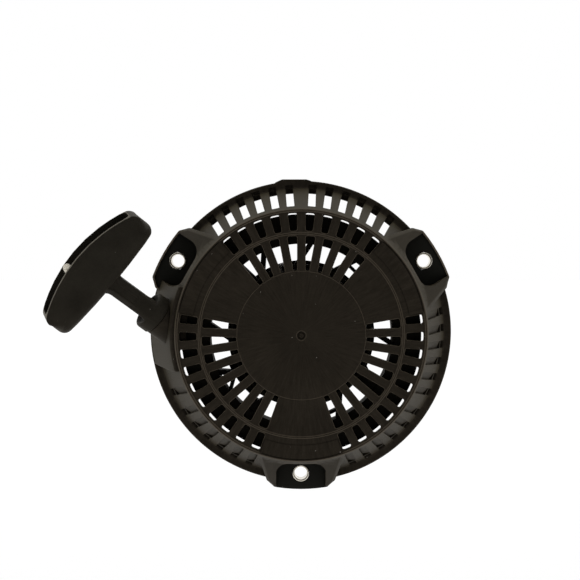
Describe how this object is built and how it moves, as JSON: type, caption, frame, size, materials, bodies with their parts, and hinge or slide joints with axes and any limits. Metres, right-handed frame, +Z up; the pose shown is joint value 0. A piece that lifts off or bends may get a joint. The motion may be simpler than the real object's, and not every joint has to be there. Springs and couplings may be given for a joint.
{
  "type": "recoil starter",
  "caption": "Pull-cord starter for a small engine: round vented housing with mounting ears, sprung rope reel, ratchet pawls and a T-handle.",
  "frame": {"origin": "centre of the three mounting bolts, on the face that meets the engine", "axes": "+Y into the engine along the crankshaft, -Y out of the vented front, +Z up, +X to the right as seen from the front"},
  "size_m": [0.2395, 0.0641, 0.1861],
  "materials": {
    "housing_plastic": "fine matte grain",
    "handle_plastic": "satin",
    "reel_plastic": "moulded",
    "plate_plastic": "moulded",
    "sleeve_steel": "zinc plated",
    "plated_steel": "zinc plated",
    "spring_steel": "oiled",
    "pawl_steel": "sintered",
    "brass": "knurled",
    "rope": "braided"
  },
  "bodies": {
    "housing": {"housing": "housing_plastic", "mount_sleeve_left": "sleeve_steel", "mount_sleeve_right": "sleeve_steel", "mount_sleeve_bottom": "sleeve_steel", "rope_guide": "plated_steel", "post_insert": "brass", "centre_screw": "plated_steel", "thrust_washer": "plated_steel", "rope_run": "rope"},
    "handle": {"handle_grip": "handle_plastic", "handle_knot": "rope", "rope_tail": "rope"},
    "reel": {"reel": "reel_plastic", "recoil_spring": "spring_steel", "rope_winding": "rope", "reel_knot": "rope", "pawl_spring_1": "spring_steel", "pawl_spring_2": "spring_steel"},
    "friction_plate": {"friction_plate": "plate_plastic", "friction_spring": "spring_steel"},
    "pawl_1": {"pawl_1": "pawl_steel"},
    "pawl_2": {"pawl_2": "pawl_steel"}
  },
  "joints": [
    {"name": "handle_pull", "type": "slide", "parent": "housing", "child": "handle", "axis": [-0.7405, -0.342, 0.5785], "range_m": [0, 0.85], "stiffness_N_per_m": 15, "springref_m": -0.4},
    {"name": "reel_spin", "type": "hinge", "parent": "housing", "child": "reel", "pos_m": [0, 0, 0], "axis": [0, 1, 0], "range_deg": [0, 815]},
    {"name": "friction_plate_turn", "type": "hinge", "parent": "reel", "child": "friction_plate", "pos_m": [0, 0, 0], "axis": [0, -1, 0], "range_deg": [0, 25]},
    {"name": "pawl_1_pivot", "type": "hinge", "parent": "reel", "child": "pawl_1", "pos_m": [0, -0.02, 0.019], "axis": [0, -1, 0], "range_deg": [0, 22]},
    {"name": "pawl_2_pivot", "type": "hinge", "parent": "reel", "child": "pawl_2", "pos_m": [0, -0.02, -0.019], "axis": [0, -1, 0], "range_deg": [0, 22]}
  ],
  "couplings": [
    {"joint": "reel_spin", "follows": "handle_pull", "rad_per_m": 16.667},
    {"joint": "pawl_1_pivot", "follows": "friction_plate_turn", "ratio": 0.88},
    {"joint": "pawl_2_pivot", "follows": "friction_plate_turn", "ratio": 0.88}
  ]
}
